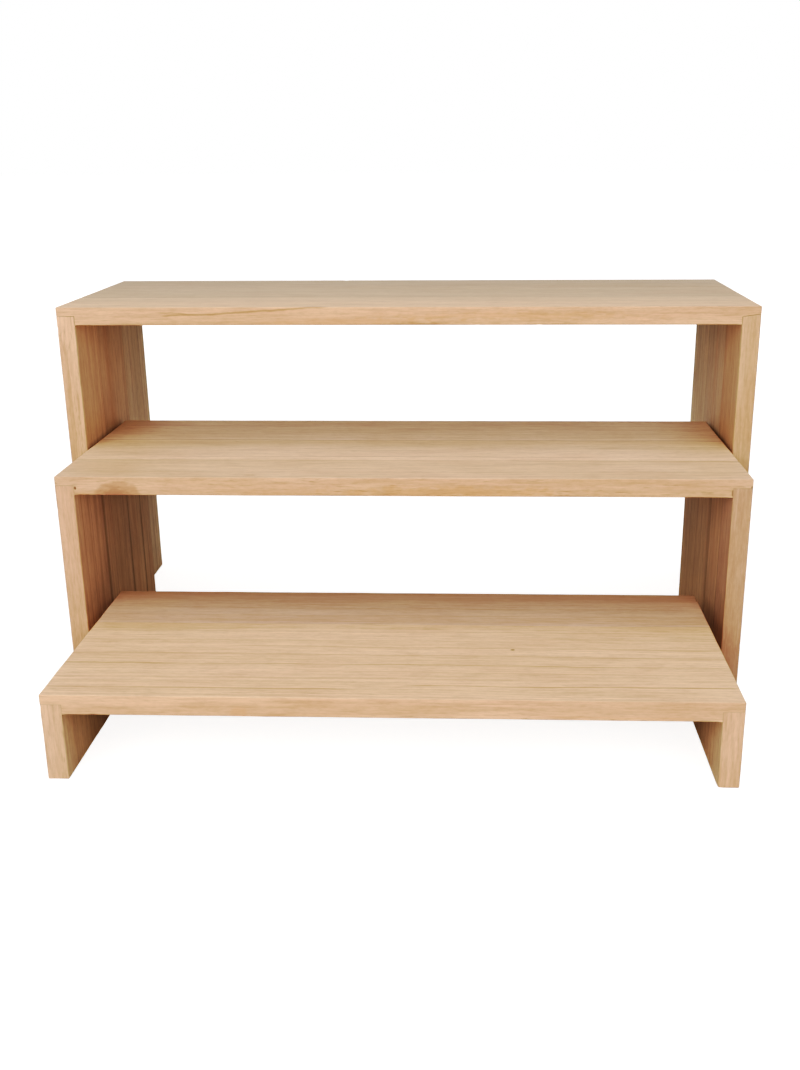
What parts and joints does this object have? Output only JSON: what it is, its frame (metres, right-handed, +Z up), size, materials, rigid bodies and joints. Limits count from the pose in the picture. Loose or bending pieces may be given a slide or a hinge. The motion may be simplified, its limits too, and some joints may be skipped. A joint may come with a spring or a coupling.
{
  "type": "nesting display riser set",
  "caption": "Set of square-arched wooden risers that tuck under one another and stand in steps, to hold paint pots and small models in view.",
  "frame": {"origin": "on the floor, in the middle of the whole set's footprint as it stands in steps", "axes": "+X to the right along the boards, +Y from the low riser at the front to the tall one at the back, +Z up"},
  "size_m": [0.388, 0.291, 0.2],
  "materials": {
    "tall_riser_wood": "bare sanded pale wood, matt, straight grain, slightly grey on top",
    "medium_riser_wood": "bare sanded pale wood, matt, warm beige with pinkish staves",
    "small_riser_wood": "bare sanded pale wood, matt, fine parallel grain lines"
  },
  "bodies": {
    "tall_riser": {"tall_left_side_back_stave": "tall_riser_wood", "tall_left_side_front_stave": "tall_riser_wood", "tall_left_side_middle_stave": "tall_riser_wood", "tall_right_side_back_stave": "tall_riser_wood", "tall_right_side_front_stave": "tall_riser_wood", "tall_right_side_middle_stave": "tall_riser_wood", "tall_top_back_stave": "tall_riser_wood", "tall_top_front_stave": "tall_riser_wood", "tall_top_middle_stave": "tall_riser_wood"},
    "medium_riser": {"medium_left_side_back_stave": "medium_riser_wood", "medium_left_side_front_stave": "medium_riser_wood", "medium_left_side_second_stave": "medium_riser_wood", "medium_left_side_third_stave": "medium_riser_wood", "medium_right_side_back_stave": "medium_riser_wood", "medium_right_side_front_stave": "medium_riser_wood", "medium_right_side_middle_stave": "medium_riser_wood", "medium_top_back_stave": "medium_riser_wood", "medium_top_front_stave": "medium_riser_wood", "medium_top_middle_stave": "medium_riser_wood"},
    "small_riser": {"small_left_side_back_stave": "small_riser_wood", "small_left_side_front_stave": "small_riser_wood", "small_right_side_back_stave": "small_riser_wood", "small_right_side_front_stave": "small_riser_wood", "small_top_back_stave": "small_riser_wood", "small_top_front_stave": "small_riser_wood"}
  },
  "joints": [
    {"name": "medium_slide", "type": "slide", "parent": "tall_riser", "child": "medium_riser", "axis": [0, -1, 0], "range_m": [-0.061, 0.08]},
    {"name": "small_slide", "type": "slide", "parent": "tall_riser", "child": "small_riser", "axis": [0, -1, 0], "range_m": [-0.161, 0.12]}
  ]
}
